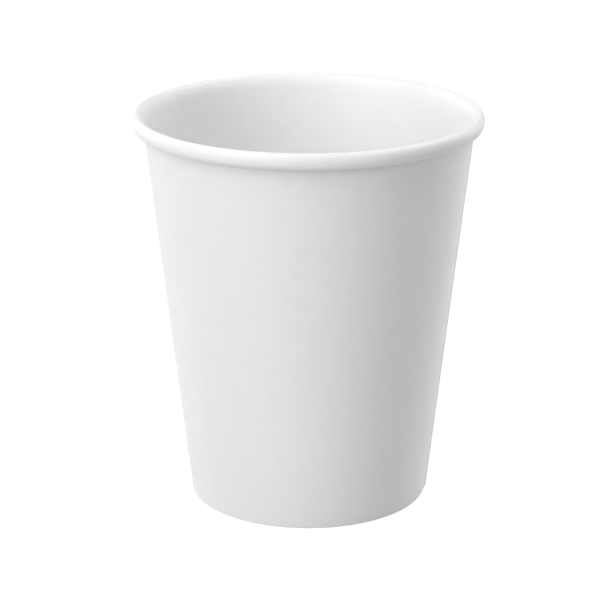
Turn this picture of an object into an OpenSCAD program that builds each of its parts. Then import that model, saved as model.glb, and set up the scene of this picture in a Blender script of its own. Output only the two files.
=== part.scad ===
// A paper cup for hot drinks, made of two pieces of coated board. The side wall is one
// sheet: it is wrapped into a cone and lapped on itself, rolled outwards at the rim, and
// folded inwards and up at the foot. The base disc has its edge turned down, and that
// skirt is sealed inside the fold. The axis is Z, and the cup stands on z = 0.
// A section is drawn in a plane through the axis, with x as the radius and y as the height.

/* [Cup] */
// Diameter over the rolled rim
rim_d = 80; // [70:0.5:95]
// Diameter of the wall's outer face where it would meet the table
base_d = 55; // [45:0.5:62]
// Height from the table to the top of the rim
cup_h = 91; // [70:0.5:120]

/* [Board] */
// Thickness of the side wall's board
wall_board = 0.35; // [0.25:0.01:0.4]
// Thickness of the base's board
base_board = 0.3; // [0.25:0.01:0.4]
// Film of sealant between two boards, left as a gap
seal_gap = 0.03; // [0.02:0.01:0.06]

/* [Rolled rim] */
// Width of the roll, measured square to the wall
roll_w = 2.7; // [2.5:0.1:3.6]
// Height of the roll's outer side, measured along the wall
roll_h = 4; // [3.8:0.1:4.8]
// How far below its top the roll is widest
bead_drop = 2.3; // [1.9:0.1:2.6]
// How far the top of the roll stands out from the wall's inner face
shoulder_w = 1.5; // [1.3:0.1:1.7]
// How far below the top of the roll the wall starts to bend outwards
shoulder_h = 3.2; // [2.5:0.1:6]
// How far the board turns in the roll, in degrees
roll_turn = 430; // [380:10:450]
// Gap between the wall and the board that comes round to it
roll_gap = 0.2; // [0.15:0.05:0.3]

/* [Seam] */
// Direction of the middle of the lap, in degrees from +X towards +Y
seam_angle = 0; // [-180:5:180]
// Width of the lap at the top of the wall
lap_w = 7; // [4:0.5:12]
// Width over which the outer ply climbs onto the inner one
climb_w = 2; // [1.5:0.25:4]

/* [Foot] */
// Width of the flat that the fold stands on
foot_flat = 0.2; // [0.1:0.02:0.24]
// Height of the hem that is folded up inside the skirt
hem_h = 5.5; // [4:0.25:6]
// Height of the base's underside above the table
recess_h = 7; // [6.5:0.25:12]
// Outside radius of the bend between the base and its skirt
bend_r = 0.8; // [0.5:0.05:1.5]

/* [Hidden] */
$fn = 120;
rim_r = rim_d / 2;
base_r = base_d / 2;
// Outside, the roll is a bead: a tall quarter of an oval down to where it is widest, and a
// low one under it. They have this width, and the low one has this height.
bead_w = roll_w - shoulder_w;
bead_low = roll_h - bead_drop;
// Where the board comes round to the wall again, it lies this far inwards of the roll's top
tail_w = shoulder_w * sqrt(1 - pow(1 - bead_drop / shoulder_h, 2)) - wall_board - roll_gap;
// The lap's second ply ends this far round the roll, in degrees
lap_turn = 60;
// Angle between two points of the roll's section, and of a bend's
roll_step = 7.5;
bend_step = 15;

// Directions out from a wall that leans, and up along it
function outwards(lean) = [cos(lean), -sin(lean)];
function upwards(lean) = [sin(lean), cos(lean)];
// Top of the roll, which leans with the wall, for a rim of the right size: the shoulder is a
// quarter of an oval on its inner side, and the bead starts as one on its outer side
function roll_top(lean) = [
    rim_r - norm([bead_w * cos(lean), bead_drop * sin(lean)]) + bead_drop * sin(lean),
    cup_h - norm([shoulder_h * cos(lean), shoulder_w * sin(lean)]) + shoulder_h * cos(lean)
];
// Lean of the wall, whose outer face runs from the table to the foot of the shoulder
function leaned(lean) =
    let (end = roll_top(lean) - shoulder_h * upwards(lean)
             - (shoulder_w - wall_board) * outwards(lean))
    atan2(end[0] - base_r, end[1]);
// The roll's place depends on the lean and the lean on the roll's place. Each pass brings
// the angle nearer, and three settle it.
lean = leaned(leaned(leaned(0)));

// Radius at height z of a face that lies a given depth inside the wall's outer face
function wall_r(z, depth) = base_r + z * tan(lean) - depth / cos(lean);
// The skirt lies between the wall and the hem, with a film of sealant on each side
hem_depth = wall_board + base_board + 2 * seal_gap;
// The two bends of the fold leave the flat between them, and start this high
fold_r = (hem_depth - wall_board - foot_flat * cos(lean)) / 2;
fold_z = wall_board + fold_r;
lap_angle = lap_w / wall_r(cup_h, 0) * 180 / PI;
climb_angle = climb_w / wall_r(cup_h, 0) * 180 / PI;

// A path is a list of [x, y, heading], and its board lies on the right of it. This one is
// a bend round a centre, to the left where the heading grows.
function bend(centre, r, from, to) =
    let (steps = ceil(abs(to - from) / bend_step), side = to > from ? -90 : 90)
    [for (i = [0:steps])
        let (heading = from + (to - from) * i / steps)
        [centre[0] + r * cos(heading + side), centre[1] + r * sin(heading + side), heading]];

// A point of the roll, a turn of w degrees from the foot of the shoulder. The share goes
// from 0 to 1 in the second half of the first turn, while the board comes in to its tail.
function roll_point(w) =
    let (share = w < 180 ? 0 : w > 360 ? 1 : (1 + cos(w)) / 2,
         width = w < 90 ? shoulder_w : bead_w + share * (tail_w - bead_w),
         bead_h = sin(w) > 0 ? bead_drop : bead_low,
         height = w < 90 ? shoulder_h : bead_h - share * (wall_board + roll_gap),
         middle = w < 90 ? shoulder_h : bead_drop)
    roll_top(lean) - width * cos(w) * outwards(lean)
        + (height * sin(w) - middle) * upwards(lean);
function roll_heading(w) =
    let (d = roll_point(w + 1) - roll_point(w - 1)) atan2(d[1], d[0]);
function roll_path(turn) =
    let (steps = ceil(turn / roll_step))
    [for (i = [0:steps])
        let (w = turn * i / steps, p = roll_point(w)) [p[0], p[1], roll_heading(w)]];

// Down the hem's outer face, round the fold, and up the wall's inner face
foot_path = concat(
    [[wall_r(hem_h, hem_depth), hem_h, -90 - lean]],
    bend([wall_r(fold_z, hem_depth - fold_r), fold_z], fold_r, -90 - lean, 0),
    bend([wall_r(fold_z, wall_board + fold_r), fold_z], fold_r, 0, 90 - lean)
);
// Up the straight part of the wall's inner face, from above the fold to under the shoulder
wall_path = [for (z = [fold_z + wall_board, cup_h - shoulder_h - wall_board])
    [wall_r(z, wall_board), z, 90 - lean]];

// A path moved to its right by a distance
function beside(path, distance) =
    [for (p = path) [p[0] + distance * sin(p[2]), p[1] - distance * cos(p[2])]];
// The outline of the board between two distances on the right of a path
function board(path, near, far) =
    let (back = beside(path, far))
    concat(beside(path, near), [for (i = [len(path) - 1:-1:0]) back[i]]);

// The second ply of the lap, sealed to the first from the hem to high on the shoulder, where
// the roll gets too tight for it. It starts halfway into the first ply, and the fold is
// pressed flat under it.
module lap() {
    rotate([0, 0, seam_angle - lap_angle / 2])
        rotate_extrude(angle = lap_angle)
            intersection() {
                polygon(board(concat(foot_path, roll_path(lap_turn)), wall_board / 2, 2 * wall_board));
                square([rim_r, cup_h]);
            }
}

// A wedge along the wall, beside the lap, that climbs from nothing to a whole board. It
// lies a given distance on the right of the wall's inner face, has a root behind it, and
// goes on level into the lap for an angle.
module climb(distance, root, reach) {
    sliver = 0.01;
    top = wall_board - sliver;
    hull()
        for (end = [[reach, top], [0, top], [-climb_angle, sliver]])
            rotate([90, 0, seam_angle - lap_angle / 2 + end[0]])
                linear_extrude(sliver)
                    polygon(board(wall_path, distance - root, distance + end[1]));
}

module side_wall() {
    color("white") difference() {
        union() {
            // The full turn starts and ends opposite to the lap
            rotate([0, 0, seam_angle + 180])
                rotate_extrude()
                    polygon(board(concat(foot_path, roll_path(roll_turn)), 0, wall_board));
            lap();
            climb(wall_board, wall_board / 2, lap_angle / 4);
        }
        climb(0, wall_board, 0);
    }
}

// Out along the top of the base, over its bend and down the skirt's outer face
bend_z = recess_h + base_board - bend_r;
base_path = concat(
    [[0, recess_h + base_board, 0]],
    bend([wall_r(bend_z, wall_board + seal_gap + bend_r), bend_z], bend_r, 0, -90 - lean),
    [[wall_r(fold_z, wall_board + seal_gap), fold_z, -90 - lean]]
);

module base_disc() {
    color("white") rotate_extrude()
        polygon(board(base_path, 0, base_board));
}

side_wall();
base_disc();
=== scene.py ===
# %% [markdown]
# # A paper cup for hot drinks
# The real cup is two pieces of coated board. A flat blank is wrapped into a cone and lapped on
# itself, its top edge is rolled outwards, and its bottom edge is folded in and up. A disc with
# its edge turned down is sealed into that fold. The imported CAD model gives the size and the
# place of both pieces. Here each piece is drawn again as the sheet that it is, fine enough for
# a close look, and then it gets its material, the light and the camera.

# %% Load the frame
import math

import bmesh
import bpy
import numpy as np
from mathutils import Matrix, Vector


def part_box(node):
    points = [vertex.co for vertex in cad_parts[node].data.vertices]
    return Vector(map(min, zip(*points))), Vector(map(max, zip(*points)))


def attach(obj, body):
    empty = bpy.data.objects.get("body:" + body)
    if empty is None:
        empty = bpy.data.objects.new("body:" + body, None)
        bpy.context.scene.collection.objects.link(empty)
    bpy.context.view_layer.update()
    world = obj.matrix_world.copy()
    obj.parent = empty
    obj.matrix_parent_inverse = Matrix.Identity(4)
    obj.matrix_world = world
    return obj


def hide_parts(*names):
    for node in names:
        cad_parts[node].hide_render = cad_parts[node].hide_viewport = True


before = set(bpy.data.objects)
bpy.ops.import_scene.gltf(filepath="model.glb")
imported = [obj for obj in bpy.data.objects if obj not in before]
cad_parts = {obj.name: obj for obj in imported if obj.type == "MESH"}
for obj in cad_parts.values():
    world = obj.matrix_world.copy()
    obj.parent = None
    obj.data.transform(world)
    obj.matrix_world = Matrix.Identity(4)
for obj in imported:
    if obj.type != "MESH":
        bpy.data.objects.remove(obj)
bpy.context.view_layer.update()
MM = 0.001
print("nodes:", sorted(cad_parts))

# %% [markdown]
# ## The camera
# The photograph was taken with a long lens from a little above the rim. The two ellipses of the
# rim and the foot fix the angle and the distance: the rounder the lower one is than the upper
# one, the nearer the camera. The cup stands a little right of the middle of the picture, which
# a small shift of the lens repeats without turning the camera.

# %% Camera
ELEVATION = math.radians(18.1)
DISTANCE = 553 * MM
LENS_MM = 142.7
SENSOR_MM = 36.0
PICTURE_PX = 600
CUP_RIGHT_OF_MIDDLE_PX = 8.3
AIM_BELOW_RIM = 45.25 * MM

camera_data = bpy.data.cameras.new("camera")
camera_data.sensor_width = SENSOR_MM
camera_data.lens = LENS_MM
camera_data.shift_x = -CUP_RIGHT_OF_MIDDLE_PX / PICTURE_PX
camera = bpy.data.objects.new("camera", camera_data)
aim_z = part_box("side_wall")[1][2] - AIM_BELOW_RIM
camera.location = (
    0,
    -DISTANCE * math.cos(ELEVATION),
    aim_z + DISTANCE * math.sin(ELEVATION),
)
camera.rotation_euler = (math.pi / 2 - ELEVATION, 0, 0)
bpy.context.scene.collection.objects.link(camera)
bpy.context.scene.camera = camera
print("camera at", [round(v, 4) for v in camera.location])

# %% [markdown]
# ## The section of the sheet
# Cut the cup in a plane through its axis and the sheet shows as one long line: down the hem,
# round the fold, up the wall and round the roll. The line could be drawn as a Bezier curve and
# revolved with a Screw modifier, but then it would be the same all the way round, and the lap
# would be lost. So it is worked out with numpy as rows of points, and each row may change on
# its way round the cup. Each point carries its heading, and the board lies on its right.

# %% Sizes
BOARD = 0.35 * MM
BASE_BOARD = 0.30 * MM
SEAL = 0.03 * MM
ROLL_W = 2.7 * MM
ROLL_H = 4.0 * MM
# The roll is widest this far below its top. CAD has 2.3 mm, from the outline at the ends of
# the rim, but the light falls off down the front of the roll as it does with a little less.
BEAD_DROP = 2.0 * MM
SHOULDER_W = 1.5 * MM
SHOULDER_H = 3.2 * MM
# Real board presses on the wall where it comes round to it, and CAD leaves 0.2 mm of room
# there. After that its end curls in by this much.
ROLL_GAP = 0.06 * MM
TAIL_CURL = 1.0 * MM
BASE_R = 27.5 * MM
HEM_H = 5.5 * MM
FOOT_FLAT = 0.2 * MM

rim_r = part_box("side_wall")[1][0]
cup_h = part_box("side_wall")[1][2]
bead_w = ROLL_W - SHOULDER_W
bead_low = ROLL_H - BEAD_DROP
# The place of the roll depends on how far the wall leans, and the lean on the place of the
# roll. Each pass brings the angle nearer.
LEAN_PASSES = 5
lean = 0.0
for _ in range(LEAN_PASSES):
    outer = math.hypot(bead_w * math.cos(lean), BEAD_DROP * math.sin(lean))
    upper = math.hypot(SHOULDER_H * math.cos(lean), SHOULDER_W * math.sin(lean))
    top_r = rim_r - outer + BEAD_DROP * math.sin(lean)
    top_z = cup_h - upper + SHOULDER_H * math.cos(lean)
    reach = SHOULDER_W - BOARD
    wall_r = top_r - SHOULDER_H * math.sin(lean) - reach * math.cos(lean)
    wall_z = top_z - SHOULDER_H * math.cos(lean) + reach * math.sin(lean)
    lean = math.atan2(wall_r - BASE_R, wall_z)
print(f"the wall leans {math.degrees(lean):.2f} degrees")


def wall_radius(z, depth):
    """Radius at height z of a face that lies a depth inside the wall's outer face.
    The wall is a cone: its radius grows by tan(lean) for each step up."""
    return BASE_R + z * math.tan(lean) - depth / math.cos(lean)


tail_w = SHOULDER_W * math.sqrt(1 - (1 - BEAD_DROP / SHOULDER_H) ** 2) - BOARD - ROLL_GAP
hem_depth = BOARD + BASE_BOARD + 2 * SEAL
fold_r = (hem_depth - BOARD - FOOT_FLAT * math.cos(lean)) / 2
fold_z = BOARD + fold_r

# %% Points of the section


def bend(centre_r, centre_z, radius, start, end, rows):
    """A round bend to the left from heading start to end: centre + radius times the unit
    vector on the right of the heading. Returns columns of r, z and heading."""
    heading = np.linspace(start, end, rows)
    return np.stack(
        [centre_r + radius * np.sin(heading), centre_z - radius * np.cos(heading), heading]
    )


def roll_point(turned):
    """A point of the roll, which leans with the wall: a tall quarter of an oval up to the top,
    then the bead, half an oval that is tall above where it is widest and low below. After half
    a turn its size shrinks by a cosine step, so that the second turn fits inside the first,
    and after a whole turn the tail curls in by 1 - cos."""
    tuck = (1 + np.cos(np.clip(turned, math.pi, 2 * math.pi))) / 2
    curl = TAIL_CURL * (1 - np.cos(np.maximum(turned - 2 * math.pi, 0)))
    before_top = turned < math.pi / 2
    bead_h = np.where(np.sin(turned) > 0, BEAD_DROP, bead_low)
    width = np.where(before_top, SHOULDER_W, bead_w + (tail_w - bead_w) * tuck - curl)
    height = np.where(before_top, SHOULDER_H, bead_h - (BOARD + ROLL_GAP) * tuck - curl)
    middle = np.where(before_top, SHOULDER_H, BEAD_DROP)
    across = -width * np.cos(turned)
    along = height * np.sin(turned) - middle
    r = top_r + across * math.cos(lean) + along * math.sin(lean)
    z = top_z - across * math.sin(lean) + along * math.cos(lean)
    return r, z


def roll(turns, rows):
    """The roll for each column's own turn: rows at equal steps from 0 to the turn, and the
    heading from the difference of two near points."""
    turned = np.linspace(0, 1, rows)[:, None] * turns[None, :]
    near = 0.01
    r, z = roll_point(turned)
    r1, z1 = roll_point(turned + near)
    r0, z0 = roll_point(turned - near)
    return np.stack([r, z, np.arctan2(z1 - z0, r1 - r0)])


# %% Rows of the straight part
UP = math.pi / 2 - lean
DOWN = -math.pi / 2 - lean
HEM_ROWS = 9
BEND_ROWS = 6
WALL_ROWS = 9
ROLL_ROWS = 37
hem_z = np.linspace(HEM_H, fold_z, HEM_ROWS)[:-1]
# The wall's rows lie closer together towards the roll
wall_share = 1 - np.linspace(1, 0, WALL_ROWS + 1)[1:-1] ** 2
roll_start = roll_point(np.array(0.0))
fold_end = (wall_radius(fold_z, BOARD), fold_z)
straight = np.concatenate(
    [
        np.stack([wall_radius(hem_z, hem_depth), hem_z, np.full_like(hem_z, DOWN)]),
        bend(wall_radius(fold_z, hem_depth - fold_r), fold_z, fold_r, DOWN, 0, BEND_ROWS),
        bend(wall_radius(fold_z, BOARD + fold_r), fold_z, fold_r, 0, UP, BEND_ROWS),
        np.stack(
            [
                fold_end[0] + (roll_start[0] - fold_end[0]) * wall_share,
                fold_end[1] + (roll_start[1] - fold_end[1]) * wall_share,
                np.full_like(wall_share, UP),
            ]
        ),
    ],
    axis=1,
)
print("rows below the roll:", straight.shape[1], "and in it:", ROLL_ROWS)

# %% [markdown]
# ## The lap
# The sheet goes once round and then over its own start. Beside the seam the outer ply climbs by
# one board, and the inner ply's cut edge lies in the groove behind the climb. A displacement
# map could hint at that step, but only the true sheet has a cut edge on both sides. So the
# sheet is a grid of rows by columns, where a column's own turn, climb and lift are smooth
# functions of how far it has gone round.

# %% Columns of the sheet
LAP_W = 7 * MM
CLIMB_W = 2 * MM
PLY_GAP = 0.005 * MM
SEAM_ANGLE = 0.0
KNURLS = 108
COLUMNS_A_KNURL = 6
COLUMNS_IN_CLIMB = 9
# Columns whose angles agree in this many digits are one
SAME_DIGITS = 6
# The roll turns this far, and less in the lap, where two plies have to fit into it
FULL_TURN = math.radians(430)
LAP_TURN = math.radians(300)
# The change from one to the other is this many climbs long
CLIMBS_IN_FADE = 3

lap = LAP_W / wall_radius(cup_h, 0)
climb = CLIMB_W / wall_radius(cup_h, 0)
column_step = 2 * math.pi / (KNURLS * COLUMNS_A_KNURL)
around = np.unique(
    np.round(
        np.concatenate(
            [
                np.arange(0, 2 * math.pi + lap, column_step),
                np.linspace(2 * math.pi - climb, 2 * math.pi, COLUMNS_IN_CLIMB),
                [lap, 2 * math.pi + lap],
            ]
        ),
        SAME_DIGITS,
    )
)


def smooth_step(x, start, end):
    """0 before start, 1 after end, and 3t^2 - 2t^3 between them."""
    t = np.clip((x - start) / (end - start), 0, 1)
    return t * t * (3 - 2 * t)


# %% How each column differs
fade = CLIMBS_IN_FADE * climb
start_lift = (BOARD + PLY_GAP) * (1 - smooth_step(around, lap, lap + fade))
climbing = smooth_step(around, 2 * math.pi - climb, 2 * math.pi)
lift = np.maximum((BOARD + PLY_GAP) * climbing, start_lift)
near_lap = np.maximum(
    1 - smooth_step(around, lap, lap + fade),
    smooth_step(around, 2 * math.pi - climb - fade, 2 * math.pi - climb),
)
turns = FULL_TURN + (LAP_TURN - FULL_TURN) * near_lap
print("columns:", len(around), "lap:", round(math.degrees(lap), 2), "degrees")

# %% [markdown]
# ## From grids to a closed mesh
# A sheet has two faces, four cut edges and no inside of its own. Solidify could give it its
# thickness, but then the knurl on one face would show on the other. So both faces are worked
# out, and one helper joins them into a closed mesh and says which faces are which. The volume
# that a second helper measures is negative where a mesh is inside out.

# %% Helper for sheets
INSIDE, OUTSIDE, CUT = 0, 1, 2


def quads(a, b, c, d):
    """Four arrays of vertex numbers to one row per face."""
    return np.stack([a, b, c, d], axis=-1).reshape(-1, 4)


def sheet_mesh(name, first, second, finishes, closed_round):
    """A closed mesh from two grids of points (rows, columns, 3), each with its finish. The
    first is the face on the right of the section's line and points that way. The second is
    wound the other way round, and strips of cut edge join the two."""
    rows, columns = first.shape[:2]
    number = np.arange(rows * columns).reshape(rows, columns)
    if closed_round:
        number = np.concatenate([number, number[:, :1]], axis=1)
    other = number + rows * columns
    parts = [
        quads(number[:-1, :-1], number[:-1, 1:], number[1:, 1:], number[1:, :-1]),
        quads(other[:-1, :-1], other[1:, :-1], other[1:, 1:], other[:-1, 1:]),
        quads(number[0, :-1], other[0, :-1], other[0, 1:], number[0, 1:]),
        quads(number[-1, :-1], number[-1, 1:], other[-1, 1:], other[-1, :-1]),
    ]
    finish = [*finishes, CUT, CUT]
    if not closed_round:
        parts.append(quads(number[:-1, 0], number[1:, 0], other[1:, 0], other[:-1, 0]))
        parts.append(quads(number[:-1, -1], other[:-1, -1], other[1:, -1], number[1:, -1]))
        finish += [CUT, CUT]
    mesh = bpy.data.meshes.new(name)
    points = np.concatenate([first.reshape(-1, 3), second.reshape(-1, 3)])
    mesh.from_pydata(points, [], np.concatenate(parts))
    slots = np.concatenate([np.full(len(p), f) for p, f in zip(parts, finish)])
    mesh.polygons.foreach_set("material_index", slots.astype(np.int32))
    mesh.polygons.foreach_set("use_smooth", np.ones(len(slots), dtype=bool))
    mesh.update()
    return mesh


def volume_of(mesh):
    """Sum over the triangles of (a . b x c) / 6, which is positive if faces point out."""
    mesh.calc_loop_triangles()
    corners = np.empty(len(mesh.loop_triangles) * 3, dtype=np.int32)
    mesh.loop_triangles.foreach_get("vertices", corners)
    points = np.empty(len(mesh.vertices) * 3)
    mesh.vertices.foreach_get("co", points)
    a, b, c = points.reshape(-1, 3)[corners.reshape(-1, 3)].transpose(1, 0, 2)
    return float(np.einsum("ij,ij->i", a, np.cross(b, c)).sum() / 6)


# %% [markdown]
# ## The side wall
# The hem inside the foot is pressed on with a toothed wheel, which leaves a ring of small
# upright grooves there. They are real dents in the outer face of the hem, so they belong in
# the surface and not in a bump map.

# %% Sizes of the knurl and the pressed edge
KNURL_DEPTH = 0.09 * MM
KNURL_LOW = 0.9 * MM
KNURL_HIGH = 4.8 * MM
KNURL_FADE = 0.5 * MM
# Where it lies in the roll, the blank's first edge is pressed to this share of the board
EDGE_SHARE = 0.12
PRESSED_W = 3 * MM
# In the roll the outer ply is pressed to this share, so that two fit round its tight end
LAP_SHARE = 0.7
# The press sets in from this many rows before the roll to this many after its start
PRESS_ROWS = (2, 3)

# %% Faces of the side wall


def round_the_axis(r, z, angle):
    """Section points to space: x = r cos(angle), y = r sin(angle), z as it is."""
    return np.stack([r * np.cos(angle), r * np.sin(angle), np.broadcast_to(z, r.shape)], -1)


def thickness(in_roll, gone_round):
    """The board, but pressed thin near the blank's first edge where that lies in the roll."""
    thinned = (1 - EDGE_SHARE) * (1 - smooth_step(gone_round, 0, PRESSED_W / rim_r))
    return BOARD * (1 - in_roll[:, None] * thinned[None, :])


def side_wall_faces():
    """The section is carried round the axis. Each column is moved to its right by what lies
    under it, and slid up along the wall by its lift, which dies away towards the roll."""
    below = np.repeat(straight[:, :, None], len(around), axis=2)
    from_roll = np.clip((roll_start[1] - below[1]) / (roll_start[1] - fold_z), 0, 1)
    slide = from_roll * lift
    below[0] += slide * math.sin(lean)
    below[1] += slide * math.cos(lean)
    r, z, heading = np.concatenate([below, roll(turns, ROLL_ROWS)], axis=1)
    right_r, right_z = np.sin(heading), -np.cos(heading)
    knurl = np.zeros_like(r)
    hem = slice(0, HEM_ROWS - 1)
    band = smooth_step(z[hem], KNURL_LOW, KNURL_LOW + KNURL_FADE) * (
        1 - smooth_step(z[hem], KNURL_HIGH - KNURL_FADE, KNURL_HIGH)
    )
    knurl[hem] = KNURL_DEPTH * band * (1 + np.cos(KNURLS * around)) / 2
    angle = SEAM_ANGLE - lap / 2 + around
    roll_row = straight.shape[1]
    in_roll = smooth_step(
        np.arange(len(r)), roll_row - PRESS_ROWS[0], roll_row + PRESS_ROWS[1]
    )
    here = thickness(in_roll, around)
    here *= 1 - (1 - LAP_SHARE) * in_roll[:, None] * climbing
    rise = climbing * (thickness(in_roll, np.maximum(around - 2 * math.pi, 0)) + PLY_GAP)
    faces = []
    for depth in (rise, rise + here - knurl):
        faces.append(round_the_axis(r + right_r * depth, z + right_z * depth, angle))
    return faces


# %% Side wall


def add_piece(name, mesh, node):
    """Puts a finished mesh into the scene as a piece that stands for a CAD node."""
    piece = bpy.data.objects.new(name, mesh)
    bpy.context.scene.collection.objects.link(piece)
    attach(piece, "root")
    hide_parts(node)
    volume = volume_of(mesh) / MM**3
    print(f"{name}: {len(mesh.loop_triangles)} triangles, {volume:.0f} mm3")
    return piece


SHARP = math.radians(40)
wall_inner, wall_outer = side_wall_faces()
wall_mesh = sheet_mesh(
    "cup_side_wall", wall_outer, wall_inner, (OUTSIDE, INSIDE), closed_round=False
)
wall_mesh.set_sharp_from_angle(angle=SHARP)
side_wall = add_piece("cup_side_wall", wall_mesh, "side_wall")

# %% [markdown]
# ## The base disc
# The base is punched as a flat disc, and its edge is bent down into a skirt. It could be a
# cylinder with a bevel, but the wall leans and the skirt leans with it. So it is a line again,
# out along the top, over the bend and down the skirt, carried round the axis.

# %% Sizes of the base disc
BEND_R = 0.8 * MM
DISC_ROWS = 5
DISC_COLUMNS = 240
SKIRT_ROWS = 4
SAME_POINT = 1e-8

base_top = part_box("base_disc")[1][2]
bend_z = base_top - BEND_R
bend_depth = BOARD + SEAL
skirt_end = fold_z + BOARD

# %% Base disc


def base_disc_faces():
    """A flat run from the axis, a bend to the right and a straight skirt. The second face is
    the first moved to its right by the board."""
    bend_centre_r = wall_radius(bend_z, bend_depth + BEND_R)
    flat_r = np.linspace(0, bend_centre_r, DISC_ROWS)[:-1]
    heading = np.linspace(0, DOWN, 2 * BEND_ROWS)
    skirt_z = np.linspace(bend_z, skirt_end, SKIRT_ROWS)[1:]
    r = np.concatenate(
        [flat_r, bend_centre_r - BEND_R * np.sin(heading), wall_radius(skirt_z, bend_depth)]
    )
    z = np.concatenate(
        [np.full_like(flat_r, base_top), bend_z + BEND_R * np.cos(heading), skirt_z]
    )
    heading = np.concatenate([np.zeros_like(flat_r), heading, np.full_like(skirt_z, DOWN)])
    angle = np.arange(DISC_COLUMNS) * 2 * math.pi / DISC_COLUMNS
    faces = []
    for depth in (0, BASE_BOARD):
        ring_r = (r + np.sin(heading) * depth)[:, None] + 0 * angle
        ring_z = (z - np.cos(heading) * depth)[:, None] + 0 * angle
        faces.append(round_the_axis(ring_r, ring_z, angle))
    return faces


def close_pole(mesh):
    """The ring of points on the axis becomes one point, so the disc is closed there."""
    shape = bmesh.new()
    shape.from_mesh(mesh)
    bmesh.ops.remove_doubles(shape, verts=shape.verts, dist=SAME_POINT)
    shape.to_mesh(mesh)
    shape.free()


disc_top, disc_under = base_disc_faces()
disc_mesh = sheet_mesh(
    "cup_base_disc", disc_under, disc_top, (OUTSIDE, INSIDE), closed_round=True
)
close_pole(disc_mesh)
disc_mesh.set_sharp_from_angle(angle=SHARP)
base_disc = add_piece("cup_base_disc", disc_mesh, "base_disc")

# %% [markdown]
# ## Materials
# Cup board is bleached pulp, pressed smooth. Outside it has a thin clay coating: white, with a
# soft sheen that shows most at a grazing angle. Inside it has a film of polyethylene, which is
# melted on and takes the dull face of the roller that presses it. Where the board is cut, its
# bare fibres are rough and a shade warmer. All three show the same faint cloudiness, because
# pulp never settles quite evenly.

# %% Helpers for materials


def linear(hex_colour):
    """An sRGB hex colour to linear RGBA: v / 12.92 if dark, else ((v + 0.055) / 1.055)^2.4."""
    value = np.array([int(hex_colour[i : i + 2], 16) for i in (1, 3, 5)]) / 255
    value = np.where(value <= 0.04045, value / 12.92, ((value + 0.055) / 1.055) ** 2.4)
    return (*value.tolist(), 1.0)


def add_node(tree, kind, values=None, links=None):
    """Adds a node. Values set its options and its own sockets, and links plug sockets in."""
    node = tree.nodes.new(kind)
    for key, value in (values or {}).items():
        if key in node.inputs:
            node.inputs[key].default_value = value
        else:
            setattr(node, key, value)
    for key, source in (links or {}).items():
        tree.links.new(source, node.inputs[key])
    return node


def scale_for(size_mm):
    """The scale of a noise whose blobs are about this many millimetres across."""
    return 1 / (size_mm * MM)


# %% Board
# Polyethylene, and the binder in the clay, both bend light about this much
BOARD_IOR = 1.5
CLOUD_MM = 3.0
# The colour sockets of a Mix node, which share their names with those for numbers
COLOUR_A, COLOUR_B, COLOUR_OUT = 6, 7, 2


def board_material(name, colour, cloud_colour, roughness, fibre_mm, depth_mm):
    """Board with clouds of pulp in its colour and fibres in its bump."""
    material = bpy.data.materials.new(name)
    material.use_nodes = True
    tree = material.node_tree
    tree.nodes.clear()
    place = add_node(tree, "ShaderNodeTexCoord")
    clouds = add_node(
        tree,
        "ShaderNodeTexNoise",
        {"Scale": scale_for(CLOUD_MM), "Detail": 2.0},
        {"Vector": place.outputs["Object"]},
    )
    tint = add_node(
        tree, "ShaderNodeMix", {"data_type": "RGBA"}, {"Factor": clouds.outputs["Fac"]}
    )
    tint.inputs[COLOUR_A].default_value = linear(colour)
    tint.inputs[COLOUR_B].default_value = linear(cloud_colour)
    fibres = add_node(
        tree,
        "ShaderNodeTexNoise",
        {"Scale": scale_for(fibre_mm), "Detail": 3.0},
        {"Vector": place.outputs["Object"]},
    )
    bump = add_node(
        tree,
        "ShaderNodeBump",
        {"Strength": 1.0, "Distance": depth_mm * MM},
        {"Height": fibres.outputs["Fac"]},
    )
    shader = add_node(
        tree,
        "ShaderNodeBsdfPrincipled",
        {"Roughness": roughness, "IOR": BOARD_IOR},
        {"Base Color": tint.outputs[COLOUR_OUT], "Normal": bump.outputs["Normal"]},
    )
    add_node(tree, "ShaderNodeOutputMaterial", links={"Surface": shader.outputs["BSDF"]})
    return material


# %% Materials
# A single fibre is 0.03 mm across, too fine to show, so the bump has the clumps that fibres
# form: half a millimetre across under a coating, and finer where the board is cut.
film = board_material(
    "polyethylene film on board", "#F7F7F7", "#F3F3F3", roughness=0.5, fibre_mm=0.6, depth_mm=0.008
)
clay = board_material(
    "clay-coated board", "#F4F4F4", "#F0F0F0", roughness=0.42, fibre_mm=0.5, depth_mm=0.008
)
edge = board_material(
    "cut edge of board", "#F1F0EC", "#E9E7E1", roughness=0.9, fibre_mm=0.12, depth_mm=0.03
)
for piece in (side_wall, base_disc):
    for material in (film, clay, edge):
        piece.data.materials.append(material)
print("materials:", [m.name for m in side_wall.data.materials])

# %% [markdown]
# ## Floor, surroundings and light
# The cup stands on white in a white room. A camera ray sees that white as it is, and so does a
# glossy one, but the light that the room throws on the cup is weaker, so that the cup keeps
# its own shades.

# %% Sizes and strengths
# Small enough to end where the lamps still light it well, so that its far edge is white too
FLOOR_SIZE = 1.8
FLOOR_LIFT = 0.7
ROOM_LIGHT = 0.194

# %% Floor


def seen_directly(tree):
    """1 for camera, glossy and transmitted rays, and 0 for those that only carry light."""
    path = add_node(tree, "ShaderNodeLightPath")
    most = path.outputs["Is Camera Ray"]
    for other in ("Is Glossy Ray", "Is Transmission Ray"):
        node = add_node(tree, "ShaderNodeMath", {"operation": "MAXIMUM"})
        tree.links.new(most, node.inputs[0])
        tree.links.new(path.outputs[other], node.inputs[1])
        most = node.outputs[0]
    return most


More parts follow.
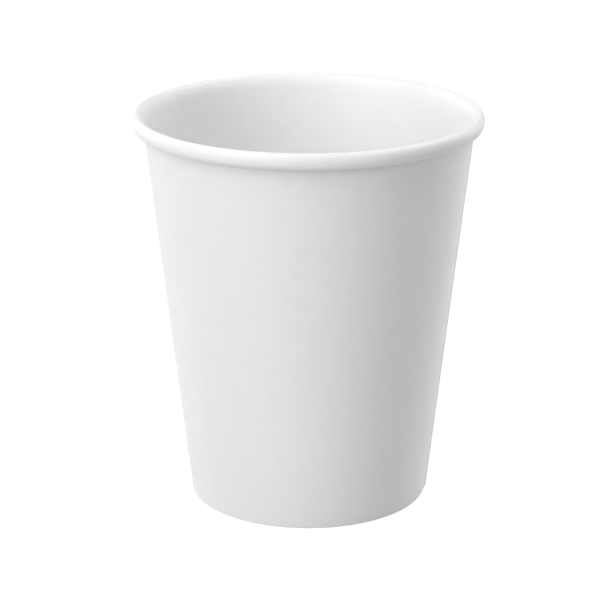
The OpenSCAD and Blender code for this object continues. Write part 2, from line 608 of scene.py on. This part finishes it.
def white_floor():
    """A plain sheet that takes shadows. To the camera it glows a little as well, so that it
    is as white as the ground in the photograph."""
    material = bpy.data.materials.new("white paper sweep")
    material.use_nodes = True
    tree = material.node_tree
    tree.nodes.clear()
    paper = add_node(tree, "ShaderNodeBsdfDiffuse", {"Color": linear("#BCBCBC")})
    strength = add_node(tree, "ShaderNodeMath", {"operation": "MULTIPLY"})
    tree.links.new(seen_directly(tree), strength.inputs[0])
    strength.inputs[1].default_value = FLOOR_LIFT
    glow = add_node(tree, "ShaderNodeEmission", links={"Strength": strength.outputs[0]})
    both = add_node(tree, "ShaderNodeAddShader")
    tree.links.new(paper.outputs[0], both.inputs[0])
    tree.links.new(glow.outputs[0], both.inputs[1])
    add_node(tree, "ShaderNodeOutputMaterial", links={"Surface": both.outputs[0]})
    return material


half = FLOOR_SIZE / 2
floor_mesh = bpy.data.meshes.new("floor")
floor_mesh.from_pydata(
    [(-half, -half, 0), (half, -half, 0), (half, half, 0), (-half, half, 0)], [], [(0, 1, 2, 3)]
)
floor_mesh.materials.append(white_floor())
floor = bpy.data.objects.new("floor", floor_mesh)
bpy.context.scene.collection.objects.link(floor)
print("floor:", FLOOR_SIZE, "m")

# %% World
world = bpy.data.worlds.new("white room")
world.use_nodes = True
bpy.context.scene.world = world
tree = world.node_tree
tree.nodes.clear()
dim = add_node(tree, "ShaderNodeBackground", {"Color": (1, 1, 1, 1), "Strength": ROOM_LIGHT})
white = add_node(tree, "ShaderNodeBackground", {"Color": (1, 1, 1, 1), "Strength": 1.0})
room = add_node(tree, "ShaderNodeMixShader", links={"Fac": seen_directly(tree)})
tree.links.new(dim.outputs[0], room.inputs[1])
tree.links.new(white.outputs[0], room.inputs[2])
add_node(tree, "ShaderNodeOutputWorld", links={"Surface": room.outputs[0]})
print("room light:", ROOM_LIGHT)

# %% [markdown]
# ## Lamps
# The wall is brightest front left and darkest front right, and falls off slowly between them.
# So the main light comes from the front left, from three soft boxes one above another, and a
# weak one on the right keeps the dark side from falling away. A box high at the back right
# lights the top of the roll and the inside on the left. Two more stand low behind the cup, one
# on each side, and lift the edges of the wall, as a white room does.

# %% Helper for lamps
LAMP_DISTANCE = 1.2


def softbox(name, azimuth, elevation, size, power):
    """A square area lamp that faces the cup. Azimuth 0 is over the camera and grows to the
    right, and elevation is the height above the camera's aim, both in degrees."""
    a, e = math.radians(azimuth), math.radians(elevation)
    data = bpy.data.lights.new(name, "AREA")
    data.size = size
    data.energy = power
    lamp = bpy.data.objects.new(name, data)
    away = np.array([math.sin(a) * math.cos(e), -math.cos(a) * math.cos(e), math.sin(e)])
    lamp.location = away * LAMP_DISTANCE + np.array([0, 0, aim_z])
    lamp.rotation_euler = (math.pi / 2 - e, 0, a)
    bpy.context.scene.collection.objects.link(lamp)
    print(f"{name}: {power} W, {size} m across")


# %% Lamps
softbox("key", -45, 45, 0.7, 5.4)
softbox("key low", -45, 15, 0.5, 4.4)
softbox("key high", -30, 70, 0.7, 1.9)
softbox("fill", 45, 30, 0.5, 1.6)
softbox("back high", 120, 50, 0.7, 4.4)
softbox("edge right", 125, 8, 0.35, 2.2)
softbox("edge left", -130, 8, 0.35, 2.9)

# %% Render settings: the view transform
bpy.context.scene.view_settings.view_transform = "Standard"
